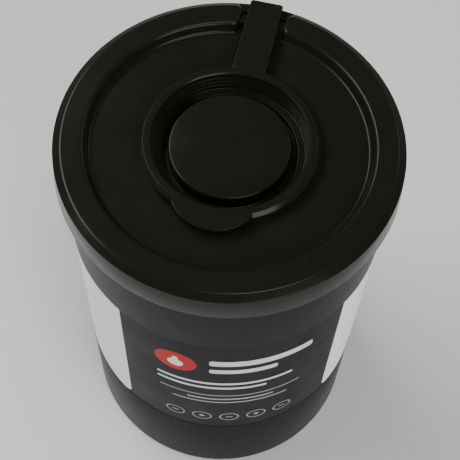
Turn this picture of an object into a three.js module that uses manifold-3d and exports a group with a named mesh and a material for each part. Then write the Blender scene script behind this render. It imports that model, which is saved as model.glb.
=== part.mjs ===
// Tub of cleaning wipes with a lift-off lid and a hinged dispensing cap.
// Millimetres, +Z up. The origin is the centre of the base, on the surface that the tub stands on.
// The cap's hinge is at the back (+Y) and its pull tab is at the front (-Y).

import * as THREE from 'three';
import { mergeVertices } from 'three/addons/utils/BufferGeometryUtils.js';
import Module from 'manifold-3d';

const wasm = await Module();
wasm.setup();

// Clearances
const SEAT_GAP = 0.3; // between faces that rest on each other
const PLUG_CLEARANCE = 0.4; // round the cap's plug and round the neck that the cap closes over
const LID_SLIP = 0.4; // between the tub's rim bead and the inside of the lid's skirt
const ROLL_CLEARANCE = 1.5; // between the roll and the tub's wall at the floor

// Tub
const TUB_HEIGHT = 202.6;
const TUB_BASE_RADIUS = 66.1;
const TUB_RIM_RADIUS = 67.45;
const TUB_WALL = 1.4;
const TUB_FLOOR = 1.8;
const BASE_ROUND = 2;
const RIM_BEAD = 0.75; // how far the bead under the rim stands out
const RIM_BEAD_HEIGHT = 2.4;

// Label: a film wrapped round the tub in a shallow recess of the wall
const LABEL_BOTTOM = 56.2;
const LABEL_HEIGHT = 100.2;
const LABEL_FILM = 0.3;
const LABEL_GAP = 0.25; // behind the film
const LABEL_MARGIN = 0.5; // recess left above and below the film

// Roll of wipes, drawn from its centre
const HEADSPACE = 12.7; // between the roll and the lid's dispensing well
const ROLL_CORE_RADIUS = 16;
const ROLL_EDGE = 2;

// Lid
const LID_WALL = 1.4;
const SKIRT_DEPTH = 12.2; // from the shoulder's lower edge to the skirt's lower edge
const SKIRT_FLARE = 0.7;
const PANEL_SINK = 2.2; // inner panel below the shoulder's lower edge
const RING_RISE = 2; // raised ring above the shoulder's lower edge
const RING_WIDTH = 9; // flat top of the raised ring
const SHOULDER_WIDTH = 3.1; // sloping shoulder outside the ring
const SHOULDER_ROUND = 2; // between the ring's flat top and the shoulder
const RING_SLOPE = 1.9; // how far the ring's inner wall leans
const RING_EDGE_ROUND = 1.8;
const RING_FOOT_ROUND = 2.2;
const STOP_RIB = 1.2; // rib inside the lid that sits on the tub's rim
const SEAL_RIB = 1.2; // rib that hangs inside the tub's rim
const SEAL_DEPTH = 3.5;

// Slot through the raised ring for the cap's strap
const SLOT_WIDTH = 19.2;
const SLOT_CORNER = 2;
const CURB_WIDTH = 4; // low edge of the lid that runs on across the slot's outer end

// Neck and dispensing well in the middle of the lid
const NECK_WALL = 1;
const ORIFICE_RADIUS = 9;
const ORIFICE_SLITS = 4;
const SLIT_WIDTH = 1.6;
const SLIT_LENGTH = 8; // beyond the orifice's edge

// Cap
const CAP_RADIUS = 36;
const CAP_WALL = 1.4;
const CAP_SKIRT_WALL = 1.2;
const FLANGE_WIDTH = 4.4; // from the cap's opening to its rim
const CAP_RISE = 4.8; // flange's top above the lid's panel
const CAP_BEVEL = 1.5; // sloping edge round the flange's top
const WELL_STEPS = 3;
const WELL_STEP = 0.25; // each fine step in the well's wall
const WELL_STEP_PITCH = 2;
const LEDGE_DEPTH = 9; // ledge below the flange's top
const LEDGE_WIDTH = 3.3;
const PLUG_TAPER = 0.6;
const GROOVE_WIDTH = 3.2;
const GROOVE_DEPTH = 2.4; // below the ledge
const DISC_RISE = 6.5; // disc's top above the groove's floor
const DISC_ROUND = 1.5;

// Pull tab and strap on the cap
const TAB_REACH = 5.7; // beyond the flange
const TAB_RADIUS = 18.1;
const TAB_THICKNESS = 1.6;
const TAB_FILLET = 1.5;
const STRAP_WIDTH = 13.8;
const STRAP_THICKNESS = 1.4;
const STRAP_BEND_ROUND = 1.2;
const STRAP_OVERHANG = 0.6; // beyond the lid's edge
const HINGE_GAP = 0.3; // between the strap's end and the lid's edge

// Finishes
const TUB_COLOUR = 0x2b2b2c;
const LABEL_COLOUR = 0x3a3d3b;
const WIPES_COLOUR = 0xf0f1ee;
const LID_COLOUR = 0x1a1a18;
const TUB_ROUGHNESS = 0.32;
const LABEL_ROUGHNESS = 0.45;
const WIPES_ROUGHNESS = 0.95;
const LID_ROUGHNESS = 0.3;

// Fineness of the solids
const ROUND_SEGMENTS = 72;
const ARC_STEPS = 3;
const MERGE_DISTANCE = 1e-4;

// Levels and radii that follow from the sizes

const stopLevel = TUB_HEIGHT + SEAT_GAP;
const panelLevel = stopLevel + SEAT_GAP + LID_WALL;
const edgeLevel = panelLevel + PANEL_SINK;
const ringLevel = edgeLevel + RING_RISE;
const skirtLevel = edgeLevel - SKIRT_DEPTH;
const capLevel = panelLevel + CAP_RISE;

const labelRecess = LABEL_FILM + LABEL_GAP;
const skirtInner = TUB_RIM_RADIUS + RIM_BEAD + LID_SLIP;
const lidRadius = skirtInner + LID_WALL;
const ringOuter = lidRadius - SHOULDER_WIDTH;
const ringInner = ringOuter - RING_WIDTH;
const ringFoot = ringInner - RING_SLOPE;

const openingRadius = CAP_RADIUS - FLANGE_WIDTH;
const plugRadius = openingRadius + CAP_WALL;
const neckInner = plugRadius + PLUG_CLEARANCE;
const neckOuter = neckInner + NECK_WALL;
const ledgeLevel = capLevel - LEDGE_DEPTH;
const ledgeOuter = openingRadius - WELL_STEP * (WELL_STEPS + 1);
const ledgeInner = ledgeOuter - LEDGE_WIDTH;
const grooveLevel = ledgeLevel - GROOVE_DEPTH;
const discRadius = ledgeInner - GROOVE_WIDTH;
const discLevel = grooveLevel + DISC_RISE;
const wellFloor = grooveLevel - CAP_WALL - PLUG_CLEARANCE;

const degrees = Math.PI / 180;

// Points of an arc in a profile or outline, both ends included
function arc(cx, cy, radius, from, to, steps = ARC_STEPS) {
  const points = [];
  for (let i = 0; i <= steps; i++) {
    const a = (from + ((to - from) * i) / steps) * degrees;
    points.push([cx + radius * Math.cos(a), cy + radius * Math.sin(a)]);
  }
  return points;
}

// Closed ring or disc turned about Z from its outline of radius and height
function turned(outline) {
  const points = outline.map(([r, z]) => new THREE.Vector2(Math.max(r, 0), z));
  const onAxis = points[0].x === 0 && points[points.length - 1].x === 0;
  if (!onAxis) points.push(points[0].clone());
  return solid(new THREE.LatheGeometry(points, ROUND_SEGMENTS).rotateX(Math.PI / 2));
}

// Upright slab of an outline in plan
function slab(outline, low, high) {
  const shape = new THREE.Shape(outline.map(([x, y]) => new THREE.Vector2(x, y)));
  const geometry = new THREE.ExtrudeGeometry(shape, { depth: high - low, bevelEnabled: false });
  return solid(geometry.translate(0, 0, low));
}

// Closed solid from a three.js geometry, for joining and cutting
function solid(geometry) {
  geometry.deleteAttribute('normal');
  geometry.deleteAttribute('uv');
  const merged = mergeVertices(geometry, MERGE_DISTANCE);
  return new wasm.Manifold(
    new wasm.Mesh({
      numProp: 3,
      vertProperties: new Float32Array(merged.attributes.position.array),
      triVerts: new Uint32Array(merged.index.array),
    }),
  );
}

// Named mesh of a finished solid, with its own material
function piece(name, body, colour, roughness) {
  const mesh = body.getMesh();
  const geometry = new THREE.BufferGeometry();
  geometry.setAttribute('position', new THREE.BufferAttribute(mesh.vertProperties, 3));
  geometry.setIndex(new THREE.BufferAttribute(mesh.triVerts, 1));
  geometry.computeVertexNormals();
  const material = new THREE.MeshStandardMaterial({ color: colour, roughness, metalness: 0 });
  const result = new THREE.Mesh(geometry, material);
  result.name = name;
  return result;
}

// Outer radius of the tub's tapered wall at a height
function wallRadius(z) {
  return TUB_BASE_RADIUS + ((TUB_RIM_RADIUS - TUB_BASE_RADIUS) * z) / TUB_HEIGHT;
}

// Tub: one thin-walled moulding, open at the top
function makeTub() {
  const recessLow = LABEL_BOTTOM - LABEL_MARGIN;
  const recessHigh = LABEL_BOTTOM + LABEL_HEIGHT + LABEL_MARGIN;
  const beadLow = TUB_HEIGHT - RIM_BEAD_HEIGHT;
  const bead = TUB_RIM_RADIUS + RIM_BEAD;
  const inner = (z) => wallRadius(z) - TUB_WALL - labelRecess;
  return turned([
    [0, 0],
    ...arc(TUB_BASE_RADIUS - BASE_ROUND, BASE_ROUND, BASE_ROUND, -90, 0),
    [wallRadius(recessLow), recessLow],
    [wallRadius(recessLow) - labelRecess, recessLow],
    [wallRadius(recessHigh) - labelRecess, recessHigh],
    [wallRadius(recessHigh), recessHigh],
    [wallRadius(beadLow - RIM_BEAD), beadLow - RIM_BEAD],
    [bead, beadLow],
    [bead, TUB_HEIGHT - RIM_BEAD],
    [bead - RIM_BEAD, TUB_HEIGHT],
    [inner(TUB_HEIGHT), TUB_HEIGHT],
    [inner(TUB_FLOOR + BASE_ROUND), TUB_FLOOR + BASE_ROUND],
    [inner(TUB_FLOOR) - BASE_ROUND, TUB_FLOOR],
    [0, TUB_FLOOR],
  ]);
}

// Label: one film round the tub
function makeLabel() {
  const top = LABEL_BOTTOM + LABEL_HEIGHT;
  return turned([
    [wallRadius(LABEL_BOTTOM) - LABEL_FILM, LABEL_BOTTOM],
    [wallRadius(LABEL_BOTTOM), LABEL_BOTTOM],
    [wallRadius(top), top],
    [wallRadius(top) - LABEL_FILM, top],
  ]);
}

// Roll of wipes: the turns as one solid round an empty core
function makeRoll() {
  const low = TUB_FLOOR + SEAT_GAP;
  const high = wellFloor - LID_WALL - HEADSPACE;
  const narrowest = Math.min(wallRadius(TUB_FLOOR), wallRadius(high));
  const outer = narrowest - TUB_WALL - labelRecess - ROLL_CLEARANCE;
  return turned([
    [ROLL_CORE_RADIUS, low],
    [outer - ROLL_EDGE, low],
    [outer, low + ROLL_EDGE],
    [outer, high - ROLL_EDGE],
    [outer - ROLL_EDGE, high],
    [ROLL_CORE_RADIUS + ROLL_EDGE, high],
    [ROLL_CORE_RADIUS, high - ROLL_EDGE],
  ]);
}

// Upper outline of the lid, from the panel to the skirt's lower edge
function lidTop() {
  const fall = Math.atan2(RING_RISE, SHOULDER_WIDTH) / degrees;
  const flatEnd = ringOuter - SHOULDER_ROUND * Math.tan((fall / 2) * degrees);
  const lean = Math.atan2(RING_SLOPE, ringLevel - panelLevel) / degrees;
  const footRun = RING_FOOT_ROUND * Math.tan((45 - lean / 2) * degrees);
  return [
    ...arc(ringFoot - footRun, panelLevel + RING_FOOT_ROUND, RING_FOOT_ROUND, -90, -lean),
    ...arc(ringInner + RING_EDGE_ROUND, ringLevel - RING_EDGE_ROUND, RING_EDGE_ROUND, 180 - lean, 90),
    ...arc(flatEnd, ringLevel - SHOULDER_ROUND, SHOULDER_ROUND, 90, 90 - fall),
    [lidRadius, edgeLevel],
    [lidRadius + SKIRT_FLARE, skirtLevel],
  ];
}

// Outline in plan of the slot through the ring out to a given reach, wider at the ring's rounded corners
function slotOutline(grow, far) {
  const half = SLOT_WIDTH / 2 + grow;
  const corner = SLOT_CORNER;
  const near = ringFoot - LID_WALL;
  const right = [
    [half + corner, near],
    ...arc(half + corner, ringInner + corner + grow, corner, 270, 180),
    ...arc(half + corner, ringOuter - corner - grow, corner, 180, 90),
    [half + corner, ringOuter],
    [half + corner, far],
  ];
  const left = right.map(([x, y]) => [-x, y]).reverse();
  return [...right, ...left];
}

// Lid: skirt, shoulder, raised ring, sunk panel, neck and dispensing well in one moulding
function makeLid() {
  const underPanel = panelLevel - LID_WALL;
  const underRing = ringLevel - LID_WALL;
  const slopeWall = LID_WALL * Math.hypot(1, RING_SLOPE / (ringLevel - panelLevel));
  const underSlope = (z) =>
    ringFoot + slopeWall + (RING_SLOPE * (z - panelLevel)) / (ringLevel - panelLevel);
  const stopOuter = TUB_RIM_RADIUS;
  const stopInner = stopOuter - STOP_RIB;
  const sealOuter = TUB_RIM_RADIUS - TUB_WALL - labelRecess - LID_SLIP;
  const sealInner = sealOuter - SEAL_RIB;
  const sealLevel = TUB_HEIGHT - SEAL_DEPTH;
  const neckLevel = capLevel - CAP_WALL - SEAT_GAP;
  const top = lidTop();
  const shell = turned([
    [ORIFICE_RADIUS, wellFloor - LID_WALL],
    [neckInner + LID_WALL, wellFloor - LID_WALL],
    [neckInner + LID_WALL, underPanel],
    [underSlope(underPanel), underPanel],
    [underSlope(underRing), underRing],
    [sealInner, underRing],
    [sealInner, sealLevel],
    [sealOuter, sealLevel + SEAL_RIB / 2],
    [sealOuter, underRing],
    [stopInner, underRing],
    [stopInner, stopLevel],
    [stopOuter, stopLevel],
    [stopOuter, underRing],
    [skirtInner, underRing - LID_WALL],
    [skirtInner + SKIRT_FLARE, skirtLevel],
    ...top.slice().reverse(),
    [neckOuter, panelLevel],
    [neckOuter, neckLevel],
    [neckInner, neckLevel],
    [neckInner, wellFloor],
    [ORIFICE_RADIUS, wellFloor],
  ]);

  const envelope = turned([
    [0, underPanel],
    [lidRadius, underPanel],
    ...top.slice(0, -1).reverse(),
    [0, panelLevel],
  ]);
  const beyond = lidRadius + LID_WALL;
  const opening = slab(slotOutline(0, beyond), panelLevel, ringLevel + LID_WALL);
  const curb = turned([
    [lidRadius - CURB_WIDTH, panelLevel - LID_WALL],
    [beyond + SKIRT_FLARE, panelLevel - LID_WALL],
    [beyond + SKIRT_FLARE, edgeLevel],
    [lidRadius - CURB_WIDTH, edgeLevel],
  ]);
  const slotWall = slab(slotOutline(LID_WALL, beyond), underPanel, ringLevel).intersect(envelope);
  let lid = shell.add(slotWall).subtract(opening.subtract(curb));

  const reach = ORIFICE_RADIUS + SLIT_LENGTH;
  const half = SLIT_WIDTH / 2;
  for (let i = 0; i < ORIFICE_SLITS; i++) {
    const slit = slab(
      [[0, -half], [reach, -half], [reach, half], [0, half]],
      wellFloor - 2 * LID_WALL,
      wellFloor + LID_WALL,
    );
    lid = lid.subtract(slit.rotate([0, 0, (360 * (i + 0.5)) / ORIFICE_SLITS]));
  }
  return lid;
}

// Outline in plan of the pull tab, from inside the flange, with a fillet where it leaves the flange
function tabOutline() {
  const centre = CAP_RADIUS + TAB_REACH - TAB_RADIUS;
  const root = (openingRadius + CAP_RADIUS) / 2;
  const fromAxis = CAP_RADIUS + TAB_FILLET;
  const fromTab = TAB_RADIUS + TAB_FILLET;
  const cosRing = (fromAxis ** 2 + centre ** 2 - fromTab ** 2) / (2 * fromAxis * centre);
  const ring = Math.acos(cosRing) / degrees;
  const fx = fromAxis * Math.sin(ring * degrees);
  const fy = -fromAxis * Math.cos(ring * degrees);
  const toTab = Math.atan2(-centre - fy, -fx) / degrees;
  const tabStart = toTab + 180;
  const fillet = arc(fx, fy, TAB_FILLET, 90 + ring, toTab < 0 ? toTab + 360 : toTab);
  const right = [...arc(0, 0, root, -90, -90 + ring, 2 * ARC_STEPS), ...fillet];
  const tip = arc(0, -centre, TAB_RADIUS, tabStart - 360, -180 - (tabStart - 360), 6 * ARC_STEPS);
  const left = right.map(([x, y]) => [-x, y]).reverse();
  return [...right, ...tip.slice(1, -1), ...left.slice(0, -1)];
}

// Cap: flange, stepped plug with its groove and disc, pull tab and strap in one moulding
function makeCap() {
  const under = capLevel - CAP_WALL;
  const skirtBottom = panelLevel + SEAT_GAP;
  const steps = [];
  for (let i = 0; i <= WELL_STEPS; i++) {
    const radius = ledgeOuter + WELL_STEP * i;
    const low = ledgeLevel + WELL_STEP_PITCH * i;
    steps.push([radius, low]);
    steps.push([radius, i < WELL_STEPS ? low + WELL_STEP_PITCH : capLevel - WELL_STEP * 2]);
  }
  const discInner = discRadius - CAP_WALL;
  const plug = turned([
    [0, discLevel - CAP_WALL],
    [discInner - DISC_ROUND, discLevel - CAP_WALL],
    [discInner, discLevel - CAP_WALL - DISC_ROUND],
    [discInner, grooveLevel - CAP_WALL],
    [ledgeInner + CAP_WALL, grooveLevel - CAP_WALL],
    [ledgeInner + CAP_WALL, ledgeLevel - CAP_WALL],
    [plugRadius - PLUG_TAPER, ledgeLevel - CAP_WALL],
    [plugRadius, under],
    [CAP_RADIUS - CAP_SKIRT_WALL, under],
    [CAP_RADIUS - CAP_SKIRT_WALL, skirtBottom],
    [CAP_RADIUS, skirtBottom],
    [CAP_RADIUS, capLevel - CAP_BEVEL],
    [CAP_RADIUS - CAP_BEVEL, capLevel],
    [openingRadius + WELL_STEP, capLevel],
    ...steps.reverse(),
    [ledgeInner, ledgeLevel],
    [ledgeInner, grooveLevel],
    [discRadius, grooveLevel],
    ...arc(discRadius - DISC_ROUND, discLevel - DISC_ROUND, DISC_ROUND, 0, 90),
    [0, discLevel],
  ]);

  const tab = slab(tabOutline(), capLevel - TAB_THICKNESS, capLevel);

  // The strap's side view: flat from the flange to the lid's edge, then bent down to the hinge
  const start = (openingRadius + CAP_RADIUS) / 2;
  const end = lidRadius + STRAP_OVERHANG;
  const foot = edgeLevel + HINGE_GAP;
  const side = [
    [start, capLevel - STRAP_THICKNESS],
    [end - STRAP_THICKNESS, capLevel - STRAP_THICKNESS],
    [end - STRAP_THICKNESS, foot],
    [end, foot],
    ...arc(end - STRAP_BEND_ROUND, capLevel - STRAP_BEND_ROUND, STRAP_BEND_ROUND, 0, 90),
    [start, capLevel],
  ];
  const strap = slab(side, -STRAP_WIDTH / 2, STRAP_WIDTH / 2).rotate([90, 0, 90]);
  return plug.add(tab).add(strap);
}

// The tub, its label and the roll stand together; the lid and its cap lie on them
const tubOfWipes = new THREE.Group();
tubOfWipes.name = 'wipes_tub';

const base = new THREE.Group();
base.add(piece('tub', makeTub(), TUB_COLOUR, TUB_ROUGHNESS));
base.add(piece('label', makeLabel(), LABEL_COLOUR, LABEL_ROUGHNESS));
base.add(piece('wipes_roll', makeRoll(), WIPES_COLOUR, WIPES_ROUGHNESS));
tubOfWipes.add(base);

const closure = new THREE.Group();
closure.add(piece('lid', makeLid(), LID_COLOUR, LID_ROUGHNESS));
closure.add(piece('dispensing_cap', makeCap(), LID_COLOUR, LID_ROUGHNESS));
tubOfWipes.add(closure);

export default tubOfWipes;
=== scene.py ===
import math

import bpy
import bmesh
from mathutils import Matrix, Vector


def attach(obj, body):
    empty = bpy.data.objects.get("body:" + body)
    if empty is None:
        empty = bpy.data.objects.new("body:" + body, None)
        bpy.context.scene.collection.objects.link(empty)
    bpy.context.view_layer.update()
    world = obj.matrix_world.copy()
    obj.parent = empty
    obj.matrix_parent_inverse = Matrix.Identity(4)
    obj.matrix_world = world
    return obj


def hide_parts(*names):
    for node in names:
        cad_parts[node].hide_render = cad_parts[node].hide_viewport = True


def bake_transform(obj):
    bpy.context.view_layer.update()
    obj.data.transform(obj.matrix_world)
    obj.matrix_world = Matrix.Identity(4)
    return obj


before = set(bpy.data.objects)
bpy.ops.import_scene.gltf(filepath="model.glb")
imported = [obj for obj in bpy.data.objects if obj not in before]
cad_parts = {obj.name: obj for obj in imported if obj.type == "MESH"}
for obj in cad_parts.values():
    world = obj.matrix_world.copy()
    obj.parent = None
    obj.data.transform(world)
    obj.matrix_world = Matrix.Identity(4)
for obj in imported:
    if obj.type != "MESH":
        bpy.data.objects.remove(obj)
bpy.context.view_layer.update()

# Tub
# The tub is one thin-walled moulding in black polypropylene, open at the top. It has a slight
# draft, a small round at the base, a bead under the rim and a shallow recess for its label.
MM = 0.001
TURNED_STEPS = 256
ON_AXIS = 1e-6
MOST_OF_SIDE = 0.49
TUB_HEIGHT = 202.6
TUB_BASE, TUB_RIM, TUB_WALL = 66.1, 67.45, 1.4
TUB_FLOOR = 1.8
LABEL_LOW, LABEL_HIGH = 56.2, 156.4
RECESS, RECESS_MARGIN = 0.55, 0.08
RIM_BEAD = 0.75
TUB_BLACK = (0.012, 0.012, 0.0124, 1)
TUB_WORN = (0.02, 0.02, 0.0205, 1)
DUST_GREY = (0.16, 0.16, 0.155, 1)


def rounded(corners, steps):
    """Profile of (radius, height, round) corners in mm, each corner replaced by an arc of its round."""
    out = []
    for i, corner in enumerate(corners):
        r = corner[2] if len(corner) > 2 else 0
        if r <= 0 or i in (0, len(corners) - 1):
            out.append((corner[0], corner[1]))
            continue
        here = Vector(corner[:2])
        back = Vector(corners[i - 1][:2]) - here
        on = Vector(corners[i + 1][:2]) - here
        half = back.angle(on) / 2
        cut = min(r / math.tan(half), back.length * MOST_OF_SIDE, on.length * MOST_OF_SIDE)
        r = cut * math.tan(half)
        back.normalize()
        on.normalize()
        centre = here + (back + on).normalized() * (r / math.sin(half))
        start = here + back * cut - centre
        end = here + on * cut - centre
        turn = start.angle_signed(end)
        for k in range(steps + 1):
            point = Matrix.Rotation(-turn * k / steps, 2) @ start + centre
            out.append((point.x, point.y))
    return out


def add_point(bm, x, y, z):
    """Adds a vertex whose place is given in mm."""
    return bm.verts.new((x * MM, y * MM, z * MM))


def add_circle(bm, radius, z, steps=TURNED_STEPS):
    """Adds a level circle of vertices, or one vertex where the radius is nothing."""
    if radius < ON_AXIS:
        return [add_point(bm, 0, 0, z)]
    turns = [2 * math.pi * k / steps for k in range(steps)]
    return [add_point(bm, radius * math.cos(t), radius * math.sin(t), z) for t in turns]


def join_loops(bm, loops):
    """Joins each closed loop of vertices to the next with faces."""
    for upper, lower in zip(loops, loops[1:]):
        count = max(len(upper), len(lower))
        for k in range(count):
            n = (k + 1) % count
            above = [upper[k % len(upper)], upper[n % len(upper)]]
            below = [lower[n % len(lower)], lower[k % len(lower)]]
            bm.faces.new(list(dict.fromkeys(above + below)))


def add_turned(bm, profile, steps=TURNED_STEPS):
    """Turns a profile of (radius, height) in mm about Z and returns its circles of vertices."""
    circles = [add_circle(bm, r, z, steps) for r, z in profile]
    join_loops(bm, circles)
    return circles


def finish_mesh(name, bm):
    """Makes the object of a finished bmesh."""
    bmesh.ops.recalc_face_normals(bm, faces=bm.faces)
    mesh = bpy.data.meshes.new(name)
    bm.to_mesh(mesh)
    bm.free()
    obj = bpy.data.objects.new(name, mesh)
    bpy.context.scene.collection.objects.link(obj)
    return obj


def add_moulding(name, bm, body, node, angle=35):
    """Makes a piece that stands for a CAD node on its body, smooth but for its sharp edges."""
    bmesh.ops.remove_doubles(bm, verts=bm.verts, dist=1e-6)
    obj = finish_mesh(name, bm)
    for polygon in obj.data.polygons:
        polygon.use_smooth = True
    obj.data.set_sharp_from_angle(angle=math.radians(angle))
    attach(obj, body)
    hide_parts(node)
    return obj


class Finish:
    """A material made of nodes that read only the piece's own coordinates."""

    def __init__(self, name):
        self.material = bpy.data.materials.new(name)
        self.material.use_nodes = True
        self.tree = self.material.node_tree
        self.shader = self.tree.nodes["Principled BSDF"]
        self.place = self.tree.nodes.new("ShaderNodeTexCoord").outputs["Object"]

    def feed(self, socket, value):
        """Links an output to a socket, or sets the socket to a value."""
        if isinstance(value, bpy.types.NodeSocket):
            self.tree.links.new(value, socket)
        else:
            socket.default_value = value

    def node(self, kind, **inputs):
        """Adds a node and feeds its sockets, named with _ for a space."""
        made = self.tree.nodes.new(kind)
        for name, value in inputs.items():
            self.feed(made.inputs[name.replace("_", " ")], value)
        return made

    def maths(self, operation, *values):
        """Works out one sum on values or outputs."""
        made = self.tree.nodes.new("ShaderNodeMath")
        made.operation = operation
        for socket, value in zip(made.inputs, values):
            self.feed(socket, value)
        return made.outputs[0]

    def mix(self, share, first, second):
        """Mixes two colours, with none of the second where the share is 0."""
        made = self.tree.nodes.new("ShaderNodeMix")
        made.data_type = "RGBA"
        for number, value in ((0, share), (6, first), (7, second)):
            self.feed(made.inputs[number], value)
        return made.outputs[2]

    def noise(self, scale, detail=2.0, rough=0.5):
        """Soft noise with about this many waves to a metre."""
        made = self.node("ShaderNodeTexNoise", Vector=self.place, Scale=scale, Detail=detail,
                         Roughness=rough)
        return made.outputs["Fac"]

    def span(self, value, low, high, to_low=0.0, to_high=1.0):
        """Maps a range of a value to another range and stops at its ends."""
        made = self.node("ShaderNodeMapRange", Value=value, From_Min=low, From_Max=high,
                         To_Min=to_low, To_Max=to_high)
        return made.outputs[0]

    def blend_of(self, first, second, share):
        """Adds two values, the first by its share and the second by the rest."""
        return self.maths("ADD", self.maths("MULTIPLY", first, share),
                          self.maths("MULTIPLY", second, 1 - share))

    def bumps(self, *layers):
        """Bends the surface by (height, strength, depth in metres) layers, one over the other."""
        below = None
        for height, strength, depth in layers:
            made = self.node("ShaderNodeBump", Height=height, Strength=strength, Distance=depth)
            if below:
                self.feed(made.inputs["Normal"], below)
            below = made.outputs[0]
        self.surface(Normal=below)

    def surface(self, **values):
        """Feeds the shader's own sockets, named with _ for a space."""
        for name, value in values.items():
            self.feed(self.shader.inputs[name.replace("_", " ")], value)


def moulded_black(name, colour, worn, gloss, grain, wave, ior, dust):
    """Moulded black polypropylene: fine grain, slow waves, uneven gloss, dust and pale worn edges."""
    finish = Finish(name)
    uneven = finish.noise(45.0, 4.0, 0.6)
    smear = finish.noise(260.0, 3.0, 0.6)
    both = finish.blend_of(uneven, smear, 0.65)
    edge = finish.node("ShaderNodeNewGeometry").outputs["Pointiness"]
    keen = finish.span(edge, 0.53, 0.62)
    specks = finish.node("ShaderNodeTexVoronoi", Vector=finish.place, Scale=520.0).outputs["Distance"]
    speck = finish.maths("LESS_THAN", specks, 0.045)
    few = finish.maths("GREATER_THAN", finish.noise(170.0, 1.0), 0.62)
    dusty = finish.maths("MULTIPLY", finish.maths("MULTIPLY", speck, few), dust)
    paler = tuple(c * 1.25 for c in colour[:3]) + (1,)
    base = finish.mix(uneven, colour, paler)
    base = finish.mix(finish.maths("MULTIPLY", keen, smear), base, worn)
    base = finish.mix(dusty, base, DUST_GREY)
    finish.surface(Base_Color=base, Roughness=finish.span(both, 0.35, 0.65, *gloss), IOR=ior)
    finish.bumps((finish.noise(28.0, 1.0), wave, 0.0004), (finish.noise(2600.0), grain, 0.00003))
    return finish.material


def wall(z):
    """Outer radius of the tub's drafted wall at a height, in mm."""
    return TUB_BASE + (TUB_RIM - TUB_BASE) * z / TUB_HEIGHT


recess_low, recess_high = LABEL_LOW - RECESS_MARGIN, LABEL_HIGH + RECESS_MARGIN
bead_low, bead_foot, bead_high = 199.4, 200.3, 201.8
floor_corner = 2.0
tub_profile = rounded([
    (0, 0.0),
    (wall(0), 0.0, 2.2),
    (wall(recess_low), recess_low, 0.12),
    (wall(recess_low) - RECESS, recess_low, 0.1),
    (wall(recess_high) - RECESS, recess_high, 0.1),
    (wall(recess_high), recess_high, 0.12),
    (wall(bead_low), bead_low, 0.8),
    (TUB_RIM + RIM_BEAD, bead_foot, 0.5),
    (TUB_RIM + RIM_BEAD, bead_high, 0.7),
    (TUB_RIM - 0.3, TUB_HEIGHT, 0.6),
    (TUB_RIM - TUB_WALL - RECESS, TUB_HEIGHT, 0.5),
    (wall(TUB_FLOOR + floor_corner) - TUB_WALL - RECESS, TUB_FLOOR + floor_corner, 0.5),
    (wall(TUB_FLOOR) - TUB_WALL - RECESS - floor_corner, TUB_FLOOR, 1),
    (0, TUB_FLOOR),
], 5)
bm = bmesh.new()
add_turned(bm, tub_profile)
tub = add_moulding("tub_shell", bm, "tub_body", "tub")
tub_black = moulded_black("tub_black", TUB_BLACK, TUB_WORN, gloss=(0.26, 0.31), grain=0.002,
                          wave=0.08, ior=1.08, dust=0.0)
tub.data.materials.append(tub_black)

# Label
# The label is one printed film wrapped round the tub and lapped at the back. It has a charcoal
# field at the front between white sides, with plain marks: a red roundel, bars and small rings.
LABEL_TURN = -74.45
SEAM_TURN, LAP, LAP_LIFT, LAP_RAMP = 104.0, 5.0, 0.10, 1.2
FILM, FILM_SET_BACK, FILM_SHELTER = 0.22, 0.13, 0.02
RIPPLE, EDGE_DRAWN_IN, EDGE_ROWS = 0.018, 0.03, 1.5
FILM_COLUMNS, FILM_ROWS = 720, 26
LABEL_R = 66.8
FIELD_HALF = math.radians(44.3) * LABEL_R
SIDE_CORNER = 6.0
CHARCOAL = (0.0088, 0.0093, 0.009, 1)
CHARCOAL_PALE = (0.0115, 0.012, 0.0116, 1)
FILM_WHITE = (0.83, 0.84, 0.85, 1)
FILM_WHITE_PALE = (0.88, 0.89, 0.90, 1)
ROUNDEL_RED = (0.42, 0.022, 0.02, 1)
DROP_WHITE = (0.72, 0.72, 0.71, 1)
BAR_WHITE = (0.62, 0.63, 0.63, 1)
THIN_GREY = (0.34, 0.35, 0.35, 1)
RING_GREY = (0.30, 0.31, 0.31, 1)
SIDE_GREY = (0.33, 0.34, 0.35, 1)
# Each bar is given by its middle, along and up the film, its width, its height and its round
BOLD_BARS = ((13.0, 82.0, 46.0, 5.4, 1.4), (5.0, 73.0, 30.0, 4.2, 1.2),
             (-3.0, 58.0, 62.0, 2.2, 0.8), (-9.0, 52.6, 50.0, 2.2, 0.8))
THIN_BARS = ((0.0, 43.0, 66.0, 0.9, 0.4), (0.0, 38.4, 40.0, 1.6, 0.6), (0.0, 34.2, 54.0, 1.2, 0.5))
ROUNDEL_X = -25.0
SMALL_RING_UP, SMALL_RING_R, SMALL_RING_LINE = 14.0, 4.4, 0.35
DASHED_RINGS, DOTTED_RINGS = (-26.0, 0.0, 26.0), (-13.0, 13.0)
SIDE_BAR_MIDDLES, SIDE_BAR_TOP, SIDE_BAR_PITCH = (-106.0, 106.0), 84.0, 6.4
SIDE_BAR_WIDTHS = (46.0, 52.0, 40.0, 52.0, 48.0, 30.0, 52.0, 44.0)


def film_section(turn):
    """Radius and height of the film's outer face at an angle, up one column in mm."""
    past_seam = turn - (SEAM_TURN + 360.0)
    lift = LAP_LIFT * min(1.0, max(0.0, (past_seam + LAP_RAMP) / LAP_RAMP))
    column = []
    for j in range(FILM_ROWS + 1):
        z = LABEL_LOW + (LABEL_HIGH - LABEL_LOW) * j / FILM_ROWS
        ripple = RIPPLE * math.sin(turn * 0.21 + j * 0.35) * math.sin(turn * 0.037)
        drawn_in = EDGE_DRAWN_IN * max(0.0, 1.0 - min(j, FILM_ROWS - j) / EDGE_ROWS)
        r = wall(z) - FILM_SET_BACK + lift + ripple - drawn_in
        column.append((min(r, wall(z) - FILM_SHELTER), z))
    return column


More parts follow.
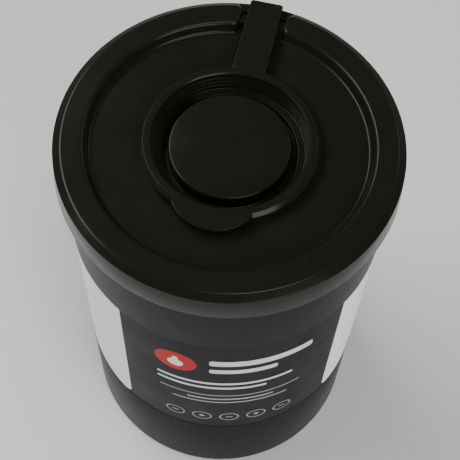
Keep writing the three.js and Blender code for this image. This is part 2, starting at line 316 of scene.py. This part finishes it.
bm = bmesh.new()
sections = []
for k in range(FILM_COLUMNS + 1):
    turn = SEAM_TURN + (360.0 + LAP) * k / FILM_COLUMNS
    t = math.radians(turn)
    column = film_section(turn)
    outer = [add_point(bm, r * math.cos(t), r * math.sin(t), z) for r, z in column]
    inner = [add_point(bm, (r - FILM) * math.cos(t), (r - FILM) * math.sin(t), z) for r, z in column]
    sections.append((outer, inner))
join_loops(bm, [outer + inner[::-1] for outer, inner in sections])
for outer, inner in (sections[0], sections[-1]):
    for j in range(FILM_ROWS):
        bm.faces.new((outer[j], outer[j + 1], inner[j + 1], inner[j]))
label = add_moulding("label_film", bm, "tub_body", "label")

film = Finish("label_print")
facing = film.node("ShaderNodeVectorRotate", Vector=film.place, Angle=math.radians(-LABEL_TURN - 90))
facing.rotation_type = "Z_AXIS"
across, depth, up = film.node("ShaderNodeSeparateXYZ", Vector=facing.outputs[0]).outputs
# Length along the film from the label's middle, and height above its lower edge, in mm
along = film.maths("MULTIPLY", film.maths("ARCTAN2", across, film.maths("MULTIPLY", depth, -1.0)), LABEL_R)
height = film.maths("SUBTRACT", film.maths("MULTIPLY", up, 1 / MM), LABEL_LOW)


def inside(distance, soft=0.12):
    """1 inside a shape and 0 outside it, from its signed distance in mm."""
    return film.span(distance, soft, -soft)


def reach_of(x, y):
    """Length of a step of x and y."""
    squares = film.maths("ADD", film.maths("MULTIPLY", x, x), film.maths("MULTIPLY", y, y))
    return film.maths("SQRT", squares)


def circle(x, y, radius):
    """Signed distance to a circle."""
    far = reach_of(film.maths("SUBTRACT", along, x), film.maths("SUBTRACT", height, y))
    return film.maths("SUBTRACT", far, radius)


def past_side(place, middle, half):
    """How far a place lies outside a band about its middle."""
    off = film.maths("ABSOLUTE", film.maths("SUBTRACT", place, middle))
    return film.maths("SUBTRACT", off, half)


def bar(x, y, width, tall, corner):
    """Signed distance to a bar with round corners."""
    dx = past_side(along, x, width / 2 - corner)
    dy = past_side(height, y, tall / 2 - corner)
    out = reach_of(film.maths("MAXIMUM", dx, 0.0), film.maths("MAXIMUM", dy, 0.0))
    within = film.maths("MINIMUM", film.maths("MAXIMUM", dx, dy), 0.0)
    return film.maths("SUBTRACT", film.maths("ADD", out, within), corner)


def small_ring(x):
    """A thin ring in the row at the label's foot."""
    distance = circle(x, SMALL_RING_UP, SMALL_RING_R)
    return inside(film.maths("SUBTRACT", film.maths("ABSOLUTE", distance), SMALL_RING_LINE))


def together(*masks):
    """One mask of all that any of the masks covers."""
    total = masks[0]
    for mask in masks[1:]:
        total = film.maths("MAXIMUM", total, mask)
    return total


blotch = film.noise(55.0, 4.0, 0.6)
fibre = film.noise(900.0, 2.0, 0.6)
# The white sides end in round lower corners beside the charcoal field
side_reach = film.maths("SUBTRACT", FIELD_HALF + SIDE_CORNER, film.maths("ABSOLUTE", along))
side_drop = film.maths("SUBTRACT", SIDE_CORNER, height)
from_corner = reach_of(film.maths("MAXIMUM", side_reach, 0.0), film.maths("MAXIMUM", side_drop, 0.0))
field = inside(film.maths("SUBTRACT", SIDE_CORNER, from_corner))
red = inside(circle(ROUNDEL_X, 77.0, 9.5))
drop = together(inside(circle(ROUNDEL_X, 75.4, 3.6)), inside(bar(ROUNDEL_X, 79.4, 2.6, 5.0, 1.2)))
bold = together(*[inside(bar(*sizes)) for sizes in BOLD_BARS])
thin = together(*[inside(bar(*sizes)) for sizes in THIN_BARS])
rings = together(*[small_ring(x) for x in DASHED_RINGS + DOTTED_RINGS])
ring_marks = together(*[inside(bar(x, SMALL_RING_UP, 3.4, 1.0, 0.4)) for x in DASHED_RINGS],
                      *[inside(circle(x, SMALL_RING_UP, 1.3)) for x in DOTTED_RINGS])
side_bars = together(*[
    inside(bar(x, SIDE_BAR_TOP - SIDE_BAR_PITCH * k, width, 1.0, 0.4))
    for x in SIDE_BAR_MIDDLES
    for k, width in enumerate(SIDE_BAR_WIDTHS)])
side_colour = film.mix(blotch, FILM_WHITE, FILM_WHITE_PALE)
field_colour = film.mix(blotch, CHARCOAL, CHARCOAL_PALE)
colour = film.mix(field, side_colour, field_colour)
for mask, ink in ((red, ROUNDEL_RED), (drop, DROP_WHITE), (bold, BAR_WHITE), (thin, THIN_GREY),
                  (together(rings, ring_marks), RING_GREY),
                  (film.maths("MULTIPLY", side_bars, 0.7), SIDE_GREY)):
    colour = film.mix(mask, colour, ink)
print_gloss = film.span(film.blend_of(blotch, fibre, 0.7), 0.35, 0.65, 0.30, 0.42)
film.surface(Base_Color=colour, Roughness=print_gloss, IOR=1.12)
ink_height = film.maths("MULTIPLY", together(red, bold, thin, rings), 0.6)
film.bumps((film.noise(34.0), 0.3, 0.0004),
           (film.maths("ADD", film.maths("MULTIPLY", fibre, 0.5), ink_height), 0.25, 0.00003))
label.data.materials.append(film.material)

# Roll of wipes
# The roll is nonwoven wipes wound round an empty core and drawn out from the middle. Its end
# faces show the edges of the turns, and its outer turn is slightly uneven.
ROLL_LOW, ROLL_HIGH, ROLL_CORE = 2.1, 182.1, 16.0
ROLL_CLEARANCE = 1.5
ROLL_OUTER = wall(TUB_FLOOR) - TUB_WALL - RECESS - ROLL_CLEARANCE
WOUND_TURNS = 60
FIRST_TURN, END_MARGIN = ROLL_CORE + 2, 5
TURN_PITCH = (ROLL_OUTER - ROLL_CORE - END_MARGIN) / WOUND_TURNS
WIPE_SHADE = (0.70, 0.72, 0.70, 1)
WIPE_WHITE = (0.88, 0.89, 0.87, 1)

roll_profile = [(ROLL_CORE, ROLL_LOW + 1), (ROLL_CORE + 1.5, ROLL_LOW + 0.1)]
for k in range(WOUND_TURNS):
    r = FIRST_TURN + TURN_PITCH * k
    roll_profile += [(r, ROLL_LOW + 0.05), (r + TURN_PITCH * 0.6, ROLL_LOW + 0.25)]
roll_profile += [
    (ROLL_OUTER - 1.6, ROLL_LOW + 0.1),
    (ROLL_OUTER - 0.3, ROLL_LOW + 1.2),
    (ROLL_OUTER, ROLL_LOW + 3),
    (ROLL_OUTER - 0.02, (ROLL_LOW + ROLL_HIGH) / 2),
    (ROLL_OUTER, ROLL_HIGH - 3),
    (ROLL_OUTER - 0.3, ROLL_HIGH - 1.2),
    (ROLL_OUTER - 1.6, ROLL_HIGH - 0.2),
]
for k in reversed(range(WOUND_TURNS)):
    r = FIRST_TURN + TURN_PITCH * k
    sag = 0.5 + 0.4 * math.sin(k * 1.7)
    roll_profile += [(r + TURN_PITCH * 0.6, ROLL_HIGH - sag - 0.5), (r, ROLL_HIGH - sag * 0.5)]
roll_profile += [(ROLL_CORE + 1.5, ROLL_HIGH - 0.6), (ROLL_CORE, ROLL_HIGH - 2)]
bm = bmesh.new()
circles = add_turned(bm, roll_profile, 96)
join_loops(bm, [circles[-1], circles[0]])
roll = add_moulding("wipes", bm, "tub_body", "wipes_roll", angle=80)

nonwoven = Finish("nonwoven")
fibre = nonwoven.noise(1400.0, 5.0, 0.7)
damp = nonwoven.noise(40.0, 3.0)
nonwoven.surface(
    Base_Color=nonwoven.mix(nonwoven.blend_of(fibre, damp, 0.5), WIPE_SHADE, WIPE_WHITE),
    Roughness=nonwoven.span(damp, 0.0, 1.0, 0.55, 0.95),
    Subsurface_Weight=0.12,
    Subsurface_Radius=(0.002, 0.002, 0.002))
nonwoven.bumps((fibre, 0.6, 0.0002))
roll.data.materials.append(nonwoven.material)

# Lid
# The lid is one moulding in black polypropylene that snaps over the tub's rim. A raised ring runs
# round a sunk panel, and a slot through the ring lets the cap's strap reach the hinge at the edge.
LID_R, FLARE = 70.0, 0.7
PANEL, EDGE, RING, SKIRT = 204.6, 206.8, 208.8, 194.6
RING_OUT, RING_IN, RING_SLOPE = 66.9, 57.9, 1.9
SLOT_HALF, SLOT_CORNER = 9.6, 2.0
FLAT_OUT, FLAT_IN, FLAT_SLOT = RING_OUT - 0.62, RING_IN + 1.45, SLOT_HALF + 0.6
NECK_IN, NECK_OUT, NECK_TOP, NECK_FOOT = 33.4, 34.4, 207.7, 35.3
EDGE_R = LID_R + FLARE * (EDGE - PANEL) / (EDGE - SKIRT)
SKIRT_IN, UNDER_RING, UNDER_PANEL = 68.6, 207.4, 203.2
STOP_OUT, STOP_IN, STOP_LOW = 67.45, 66.25, 202.9
SEAL_OUT, SEAL_IN, SEAL_LOW = 65.1, 63.9, 199.7
UNDER_SLOPE_OUT, UNDER_SLOPE_IN = 60.0, 57.3
WELL, WELL_OUT, FLOOR_WALL = 196.2, 34.8, 1.4
HOLE_R, SLIT_HALF, SLIT_END, FLOOR_R = 9.0, 0.8, 17.0, 20.0
HOLE_EDGE = 0.2
FLAT_MARGIN = 0.2
FOOT_MARGIN = 0.3
CURB_IN, CURB_HALF_TURN, CURB_SUNK = 66.0, 13, 0.4
LID_BLACK = (0.0066, 0.0065, 0.0040, 1)
LID_WORN = (0.014, 0.014, 0.011, 1)
# Depths below the ring's top of the loops round it, closest where a round bends the side
RING_DEPTHS = (0, 0.01, 0.035, 0.08, 0.14, 0.2, 0.26, 0.36, 0.5, 0.7, 0.9, 1.1, 1.35, 1.6, 1.84, 1.9,
               1.97, 2.05, 2.14, 2.24, 2.5, 2.8, 3.1, 3.35, 3.6, 3.8, 3.95, 4.05, 4.12, 4.17, 4.19)


def arc_points(cx, cy, radius, start, end, pitch):
    """Points in mm along an arc in degrees, both ends included, spaced by about pitch."""
    count = max(4, int(abs(math.radians(end - start)) * radius / pitch))
    turns = [math.radians(start + (end - start) * k / count) for k in range(count + 1)]
    return [(cx + radius * math.cos(t), cy + radius * math.sin(t)) for t in turns]


def facing_from(points, centre, sign):
    """Adds to each point its direction away from a centre, or toward it with sign -1."""
    out = []
    for x, y in points:
        way = Vector((x - centre[0], y - centre[1])).normalized() * sign
        out.append((x, y, way.x, way.y))
    return out


def both_halves(half):
    """Closed outline of a half plan at +X and its mirror image."""
    return half + [(-p[0], p[1], -p[2], *p[3:]) for p in half[1:-1]][::-1]


def fill_flat(bm, loops):
    """Fills the level area between closed loops of vertices."""
    edges = []
    for loop in loops:
        for a, b in zip(loop, loop[1:] + loop[:1]):
            edges.append(bm.edges.get((a, b)) or bm.edges.new((a, b)))
    bmesh.ops.triangle_fill(bm, edges=edges, use_beauty=True, use_dissolve=False, normal=(0, 0, 1))


def side(corners):
    """How far a side reaches out in plan at a height, from its (reach, height, round) corners."""
    path = rounded(corners, 6)

    def reach(z):
        for (r0, z0), (r1, z1) in zip(path, path[1:]):
            if z0 >= z >= z1 and z0 > z1:
                return r0 + (r1 - r0) * (z0 - z) / (z0 - z1)
        return path[0][0] if z > path[0][1] else path[-1][0]

    return reach


# The ring's three kinds of side: shoulder outside, leaning wall inside, straight wall at the slot
INNER_FOOT = FLAT_IN - RING_IN + RING_SLOPE
HAIR = 0.0001
side_out = side([(-1, RING), (RING_OUT - FLAT_OUT, RING, 2.0), (LID_R - FLAT_OUT, EDGE, 0.4),
                 (LID_R + FLARE - FLAT_OUT, SKIRT)])
side_in = side([(-1, RING), (FLAT_IN - RING_IN, RING, 2.1), (INNER_FOOT, PANEL, 2.4),
                (INNER_FOOT + 2, PANEL - HAIR)])
side_slot = side([(-1, RING), (FLAT_SLOT - SLOT_HALF - 0.1, RING, 0.6), (FLAT_SLOT - SLOT_HALF, PANEL, 0.4),
                  (1.6, PANEL - HAIR)])


def ring_outline():
    """Plan of the ring's flat top: points, outward directions and shares of the three kinds of side."""
    far_out, far_in = FLAT_OUT - SLOT_CORNER, FLAT_IN + SLOT_CORNER
    turn_out = math.asin((FLAT_SLOT + SLOT_CORNER) / far_out)
    turn_in = math.asin((FLAT_SLOT + SLOT_CORNER) / far_in)
    corner_out = (far_out * math.sin(turn_out), far_out * math.cos(turn_out))
    corner_in = (far_in * math.sin(turn_in), far_in * math.cos(turn_in))
    turn_out, turn_in = math.degrees(turn_out), math.degrees(turn_in)
    half = []

    def put(points, centre, sign, shares, skip=0):
        turned = facing_from(points, centre, sign)[skip:]
        for i, point in enumerate(turned):
            half.append((*point, shares(i / (len(turned) - 1))))

    put(arc_points(0, 0, FLAT_OUT, -90, 90 - turn_out, 0.9), (0, 0), 1, lambda t: (1, 0, 0))
    put(arc_points(*corner_out, SLOT_CORNER, 90 - turn_out, 180, 0.2), corner_out, 1,
        lambda t: (1 - t, 0, t), skip=1)
    for k in range(1, 12):
        y = corner_out[1] + (corner_in[1] - corner_out[1]) * k / 12
        half.append((FLAT_SLOT, y, -1, 0, (0, 0, 1)))
    put(arc_points(*corner_in, SLOT_CORNER, 180, 270 - turn_in, 0.2), corner_in, 1, lambda t: (0, t, 1 - t))
    put(arc_points(0, 0, FLAT_IN, 90 - turn_in, -90, 0.9), (0, 0), -1, lambda t: (0, 1, 0), skip=1)
    return both_halves(half)


def hole_outline():
    """Plan of the hole for the wipes with its four slits, as points with directions into the floor."""
    edge = math.degrees(math.asin(SLIT_HALF / HOLE_R))
    out = []
    for turn in (45, 135, 225, 315):
        along_slit = Vector((math.cos(math.radians(turn)), math.sin(math.radians(turn))))
        across_slit = Vector((-along_slit.y, along_slit.x))
        lip = [Vector(p) for p in arc_points(0, 0, HOLE_R, turn - 90 + edge, turn - edge, 0.6)]
        ways = [p.normalized() for p in lip]
        ways[0] = ways[0] + along_slit
        ways[-1] = ways[-1] - across_slit
        for hand in (-1, 1):
            lip.append(along_slit * SLIT_END + across_slit * SLIT_HALF * hand)
            ways.append(along_slit + across_slit * hand)
        out += [(p.x, p.y, way.x, way.y) for p, way in zip(lip, ways)]
    return out


bm = bmesh.new()
outline = ring_outline()
loops = []
for z, inset in [(RING, FLAT_MARGIN)] + [(RING - d, 0.0) for d in RING_DEPTHS] + [(PANEL, 0.0)]:
    loop = []
    for x, y, nx, ny, (share_out, share_in, share_slot) in outline:
        reach = share_out * side_out(z) + share_in * side_in(z) + share_slot * side_slot(z) - inset
        loop.append(add_point(bm, x + nx * reach, y + ny * reach, z))
    loops.append(loop)
join_loops(bm, loops)
fill_flat(bm, [loops[0]])

# Panel and slot floor: the area inside the ring's foot and across the slot, out to the skirt
foot = []
inner_foot = []
for vertex, (x, y, nx, ny, shares) in zip(loops[-1], outline):
    is_outer = shares[0] > 0.5
    if not is_outer:
        base = vertex.co / MM
        vertex = add_point(bm, base.x + nx * FOOT_MARGIN, base.y + ny * FOOT_MARGIN, PANEL)
        inner_foot.append(vertex)
    foot.append(vertex)
for k in range(len(foot)):
    n = (k + 1) % len(foot)
    corners = list(dict.fromkeys((loops[-1][k], foot[k], foot[n], loops[-1][n])))
    if len(corners) > 2:
        bm.faces.new(corners)
left_turn = math.atan2(inner_foot[-1].co.y, inner_foot[-1].co.x)
right_turn = math.atan2(inner_foot[0].co.y, inner_foot[0].co.x)
slot_end = []
for k in range(25):
    t = left_turn + (right_turn - left_turn) * k / 24
    slot_end.append(add_point(bm, EDGE_R * math.cos(t), EDGE_R * math.sin(t), PANEL))
fill_flat(bm, [inner_foot + slot_end, add_circle(bm, NECK_FOOT, PANEL)])

# Skirt below the panel's level, and everything under the lid down to the floor of the well
under_lid = rounded([
    (EDGE_R, PANEL),
    (LID_R + FLARE, SKIRT, 0.35),
    (SKIRT_IN + FLARE, SKIRT, 0.35),
    (SKIRT_IN, UNDER_RING - 1.4, 0.8),
    (STOP_OUT, UNDER_RING, 0.3),
    (STOP_OUT, STOP_LOW, 0.2),
    (STOP_IN, STOP_LOW, 0.2),
    (STOP_IN, UNDER_RING, 0.3),
    (SEAL_OUT, UNDER_RING, 0.3),
    (SEAL_OUT, SEAL_LOW, 0.3),
    (SEAL_IN, SEAL_LOW - 0.6, 0.3),
    (SEAL_IN, UNDER_RING, 0.5),
    (UNDER_SLOPE_OUT, UNDER_RING, 0.8),
    (UNDER_SLOPE_IN, UNDER_PANEL, 0.8),
    (WELL_OUT, UNDER_PANEL, 0.6),
    (WELL_OUT, WELL - FLOOR_WALL, 0.8),
    (FLOOR_R, WELL - FLOOR_WALL),
], 3)
inside_well = rounded([
    (FLOOR_R, WELL),
    (NECK_IN, WELL, 0.8),
    (NECK_IN, NECK_TOP, 0.4),
    (NECK_OUT, NECK_TOP, 0.4),
    (NECK_OUT, PANEL + 0.5),
    (NECK_OUT + 0.15, PANEL + 0.15),
    (NECK_OUT + 0.5, PANEL),
    (NECK_FOOT, PANEL),
], 3)
floor_below = add_turned(bm, under_lid)[-1]
floor_above = add_turned(bm, inside_well)[0]
rims = []
for z, widened in ((WELL, HOLE_EDGE), (WELL - HOLE_EDGE, 0), (WELL - FLOOR_WALL + HOLE_EDGE, 0),
                   (WELL - FLOOR_WALL, HOLE_EDGE)):
    rims.append([add_point(bm, x + nx * widened, y + ny * widened, z) for x, y, nx, ny in hole_outline()])
join_loops(bm, rims)
fill_flat(bm, [floor_above, rims[0]])
fill_flat(bm, [floor_below, rims[-1]])

# The lid's low edge runs on across the slot's outer end, under the strap
curb_section = rounded([
    (CURB_IN - 0.6, PANEL - CURB_SUNK),
    (CURB_IN, PANEL, 0.01),
    (CURB_IN, EDGE, 0.7),
    (LID_R, EDGE, 0.3),
    (EDGE_R - 0.012, PANEL - CURB_SUNK),
], 4)
curb = []
for k in range(49):
    t = math.radians(90 - CURB_HALF_TURN + 2 * CURB_HALF_TURN * k / 48)
    curb.append([add_point(bm, r * math.cos(t), r * math.sin(t), z) for r, z in curb_section])
join_loops(bm, curb)
lid = add_moulding("lid_shell", bm, "lid_body", "lid", angle=32)
lid_black = moulded_black("lid_black", LID_BLACK, LID_WORN, gloss=(0.18, 0.26), grain=0.04,
                          wave=0.12, ior=1.2, dust=0.12)
lid.data.materials.append(lid_black)

# Dispensing cap
# The cap is moulded with its strap and pull tab. Its flange closes over the lid's neck, its stepped
# plug goes down into the neck, and a raised disc stands in the middle above a deep groove.
CAP_TOP, CAP_R, CAP_BEVEL, OPENING_R = 209.4, 36.0, 1.5, 31.8
CAP_SKIRT, CAP_SKIRT_IN = 204.9, 34.8
DISC_R, DISC_TOP, DISC_UNDER, DISC_IN = 24.6, 204.5, 203.1, 22.7
GROOVE_OUT, GROOVE, GROOVE_UNDER = 27.3, 198.0, 196.6
LEDGE_OUT, LEDGE, LEDGE_UNDER = 30.6, 200.4, 199.0
STEP_WIDTH, STEP_HEIGHT, STEP_ROUND = 0.25, 2.0, 0.07
PLUG_OUT, PLUG_TIP, PLUG_FOOT = 33.0, 32.4, 28.7
STRAP_LOW, STRAP_FOOT = 208.0, 207.1
STRAP_HALF, STRAP_END, STRAP_CORNER = 6.9, 70.6, 1.0
STRAP_BEND, STRAP_BEND_RUN, STRAP_BEND_ROUND = 68.6, 1.6, 1.1
TAB_R, TAB_C, TAB_ROUND, TAB_THICK = 18.1, 23.6, 1.5, 1.6
PLATE_SUNK, PLATE_EDGE, PLATE_MARGIN = 0.003, 0.3, 0.15
ROOT_R = 33.0


def tab_outline():
    """Plan of the pull tab from its root in the flange, as points with outward directions."""
    far_tab, far_ring = TAB_R + TAB_ROUND, CAP_R + TAB_ROUND
    turn = math.acos((far_ring ** 2 + TAB_C ** 2 - far_tab ** 2) / (2 * far_ring * TAB_C))
    fillet = (far_ring * math.sin(turn), -far_ring * math.cos(turn))
    to_tab = math.degrees(math.atan2(-TAB_C - fillet[1], -fillet[0])) % 360
    turn = math.degrees(turn)
    half = facing_from(arc_points(0, -TAB_C, TAB_R, -90, to_tab - 180, 0.5), (0, -TAB_C), 1)
    half += facing_from(arc_points(*fillet, TAB_ROUND, to_tab, turn + 90, 0.25)[1:], fillet, -1)
    half += facing_from(arc_points(0, 0, ROOT_R, turn - 90, -90, 0.8), (0, 0), -1)
    return both_halves(half)


def strap_outline():
    """Plan of the strap from its root in the flange to its end over the lid's edge."""
    corner_x, corner_y = STRAP_HALF - STRAP_CORNER, STRAP_END - STRAP_CORNER
    root_y = ROOT_R + 0.5
    half = [(0, ROOT_R, 0, -1), (STRAP_HALF - 0.5, ROOT_R, 0, -1), (STRAP_HALF, root_y, 1, 0)]
    half += [(STRAP_HALF, root_y + (corner_y - root_y) * k / 24, 1, 0) for k in range(1, 24)]
    half += facing_from(arc_points(corner_x, corner_y, STRAP_CORNER, 0, 90, 0.2), (corner_x, corner_y), 1)
    half += [(corner_x * (1 - k / 4), STRAP_END, 0, 1) for k in range(1, 5)]
    return both_halves(half)


def tab_edge(y):
    """Round of the tab's top edge, the same all round."""
    return PLATE_EDGE


def strap_edge(y):
    """Round of the strap's top edge, larger where the strap bends down over the lid's edge."""
    bent = max(0.0, min(1.0, (y - STRAP_BEND) / STRAP_BEND_RUN))
    return PLATE_EDGE + (STRAP_BEND_ROUND - PLATE_EDGE) * bent


def add_plate(bm, outline, low, high, edge_at):
    """Closed plate of an outline with a rounded top edge and a small round below."""
    flat = []
    for x, y, nx, ny in outline:
        inset = edge_at(y) + PLATE_MARGIN
        flat.append(add_point(bm, x - nx * inset, y - ny * inset, high))
    loops = [flat]
    for k in range(7):
        t = math.radians(90 * k / 6)
        loop = []
        for x, y, nx, ny in outline:
            inset = edge_at(y) * (1 - math.sin(t))
            z = high - edge_at(y) * (1 - math.cos(t))
            loop.append(add_point(bm, x - nx * inset, y - ny * inset, z))
        loops.append(loop)
    for inset, z in ((0, low + 0.2), (0.06, low + 0.06), (0.2, low)):
        loops.append([add_point(bm, x - nx * inset, y - ny * inset, z) for x, y, nx, ny in outline])
    join_loops(bm, loops)
    fill_flat(bm, [loops[0]])
    fill_flat(bm, [loops[-1]])


steps = []
for k in range(3):
    z = LEDGE + STEP_HEIGHT * (k + 1)
    steps.append((LEDGE_OUT + STEP_WIDTH * k, z, STEP_ROUND))
    steps.append((LEDGE_OUT + STEP_WIDTH * (k + 1), z, STEP_ROUND))
cap_profile = rounded([
    (0, DISC_TOP),
    (DISC_R, DISC_TOP, 0.9),
    (DISC_R, GROOVE, 0.5),
    (GROOVE_OUT, GROOVE, 0.5),
    (GROOVE_OUT, LEDGE, 0.4),
    (LEDGE_OUT, LEDGE, 0.4),
    *steps,
    (LEDGE_OUT + 3 * STEP_WIDTH, CAP_TOP - 0.5, 0.2),
    (OPENING_R, CAP_TOP, 0.2),
    (CAP_R - CAP_BEVEL, CAP_TOP, 0.35),
    (CAP_R, CAP_TOP - CAP_BEVEL, 0.5),
    (CAP_R, CAP_SKIRT, 0.3),
    (CAP_SKIRT_IN, CAP_SKIRT, 0.3),
    (CAP_SKIRT_IN, 207.6, 0.3),
    (PLUG_OUT, 207.9, 0.3),
    (PLUG_TIP, LEDGE_UNDER, 0.6),
    (PLUG_FOOT, LEDGE_UNDER, 0.4),
    (PLUG_FOOT, GROOVE_UNDER, 0.5),
    (DISC_IN, GROOVE_UNDER, 0.5),
    (DISC_IN, DISC_UNDER, 0.8),
    (0, DISC_UNDER),
], 5)
bm = bmesh.new()
add_turned(bm, cap_profile)
add_plate(bm, tab_outline(), CAP_TOP - TAB_THICK, CAP_TOP - PLATE_SUNK, tab_edge)
add_plate(bm, strap_outline(), STRAP_LOW, CAP_TOP - PLATE_SUNK, strap_edge)
# The strap's foot, bent down over the lid's edge
foot_plan = [(STRAP_HALF, STRAP_END - 1.4)]
foot_plan += arc_points(STRAP_HALF - STRAP_CORNER, STRAP_END - STRAP_CORNER, STRAP_CORNER, 0, 90, 0.2)
foot_plan += [(-x, y) for x, y in reversed(foot_plan)]
foot_loops = [[add_point(bm, x, y, z) for x, y in foot_plan] for z in (STRAP_FOOT, STRAP_LOW + 0.4)]
join_loops(bm, foot_loops)
for loop in foot_loops:
    bm.faces.new(loop)
cap = add_moulding("cap_moulding", bm, "cap_body", "dispensing_cap", angle=40)
cap.data.materials.append(lid_black)

# Hinge web
# The strap's foot and the lid's edge are joined by a thin web, moulded with both. The real web bends
# as the cap opens; here it is built in its closed shape only. It is a living hinge, so it has no pin.
WEB_HALF = 6.2
WEB_BACK, WEB_DOWN = 0.12, 0.1
WEB_PATH = ((69.5, 206.74), (69.8, 206.8), (70.05, 206.88), (70.15, 207.0), (70.15, 207.2))

bm = bmesh.new()
web_across = [WEB_HALF * k / 2 for k in range(-2, 3)]
web_loops = []
for y, z in WEB_PATH:
    upper = [add_point(bm, x, y, z) for x in web_across]
    lower = [add_point(bm, x, y - WEB_BACK, z - WEB_DOWN) for x in reversed(web_across)]
    web_loops.append(upper + lower)
join_loops(bm, web_loops)
bm.faces.new(web_loops[0])
bm.faces.new(web_loops[-1])
web = finish_mesh("hinge_web", bm)
web.data.materials.append(lid_black)
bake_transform(web)

# Stage
# The stage is a pale floor, four soft studio lights round the tub and a dim sky, with the camera
# where the photo was taken from, found by fitting the curves of the lid and the label.
FLOOR_HALF = 4.0
FLOOR_PALE = (0.55, 0.55, 0.55, 1)
SKY_TINT = (0.95, 0.97, 1.0, 1)
CAMERA_TURN, CAMERA_OUT, CAMERA_UP = 10.75, 0.24426, 0.58777
YAW, PITCH, ROLL = 0.4328, 61.735, 3.0121
FOCAL, PICTURE, SENSOR = 1141.69, 460, 36
LIGHT_AIM = Vector((0, 0, 0.2))
# Each light: name, direction round from the camera's frame and above level in degrees, distance,
# width and height in metres, and power in watts
LIGHTS = (
    ("left_soft", 153, 47, 1.5, 1.5, 0.5, 32),
    ("front_soft", -59, 27, 1.5, 1.0, 0.62, 18),
    ("top_soft", -50, 74, 1.6, 0.6, 0.5, 9),
    ("right_soft", 45, 38, 1.6, 0.5, 0.7, 2),
)

bm = bmesh.new()
bmesh.ops.create_grid(bm, x_segments=1, y_segments=1, size=FLOOR_HALF)
floor = finish_mesh("floor", bm)
floor_finish = Finish("floor_white")
floor_finish.surface(Base_Color=FLOOR_PALE, Roughness=0.9)
floor.data.materials.append(floor_finish.material)

# The sky is paler near level, where the sides of the tub mirror it, and dim overhead
world = bpy.data.worlds.new("studio")
bpy.context.scene.world = world
world.use_nodes = True
tree = world.node_tree
sky = tree.nodes["Background"]
sky.inputs["Color"].default_value = SKY_TINT
direction = tree.nodes.new("ShaderNodeTexCoord").outputs["Generated"]
split = tree.nodes.new("ShaderNodeSeparateXYZ")
fade = tree.nodes.new("ShaderNodeMapRange")
for name, value in (("From Min", 0.2), ("From Max", 0.5), ("To Min", 0.42), ("To Max", 0.13)):
    fade.inputs[name].default_value = value
tree.links.new(direction, split.inputs[0])
tree.links.new(split.outputs[2], fade.inputs["Value"])
tree.links.new(fade.outputs[0], sky.inputs["Strength"])


def add_soft_light(name, turn, lift, far, width, tall, watts):
    """An area light that stands in a direction from the part and faces it."""
    t = math.radians(turn + CAMERA_TURN)
    e = math.radians(lift)
    way = Vector((math.cos(e) * math.cos(t), math.cos(e) * math.sin(t), math.sin(e)))
    light = bpy.data.lights.new(name, "AREA")
    light.shape = "RECTANGLE"
    light.size = width
    light.size_y = tall
    light.energy = watts
    obj = bpy.data.objects.new(name, light)
    obj.location = LIGHT_AIM + way * far
    obj.rotation_euler = (-way).to_track_quat("-Z", "Y").to_euler()
    bpy.context.scene.collection.objects.link(obj)


for sizes in LIGHTS:
    add_soft_light(*sizes)

# The camera looks along forward, and its picture is turned about that by the roll
turn = math.radians(CAMERA_TURN)
yaw = math.radians(YAW - CAMERA_TURN)
pitch = math.radians(PITCH)
roll_turn = math.radians(ROLL)
forward = Vector((math.sin(yaw) * math.cos(pitch), math.cos(yaw) * math.cos(pitch), -math.sin(pitch)))
right = Vector((math.cos(yaw), -math.sin(yaw), 0))
down = forward.cross(right)
picture_right = right * math.cos(roll_turn) - down * math.sin(roll_turn)
picture_down = right * math.sin(roll_turn) + down * math.cos(roll_turn)
place = Vector((CAMERA_OUT * math.sin(turn), -CAMERA_OUT * math.cos(turn), CAMERA_UP))
camera = bpy.data.objects.new("camera", bpy.data.cameras.new("camera"))
camera.data.lens = FOCAL / PICTURE * SENSOR
camera.data.sensor_width = SENSOR
camera.data.clip_start = 0.01
axes = Matrix((picture_right, -picture_down, -forward)).transposed()
camera.matrix_world = Matrix.Translation(place) @ axes.to_4x4()
bpy.context.scene.collection.objects.link(camera)
bpy.context.scene.camera = camera
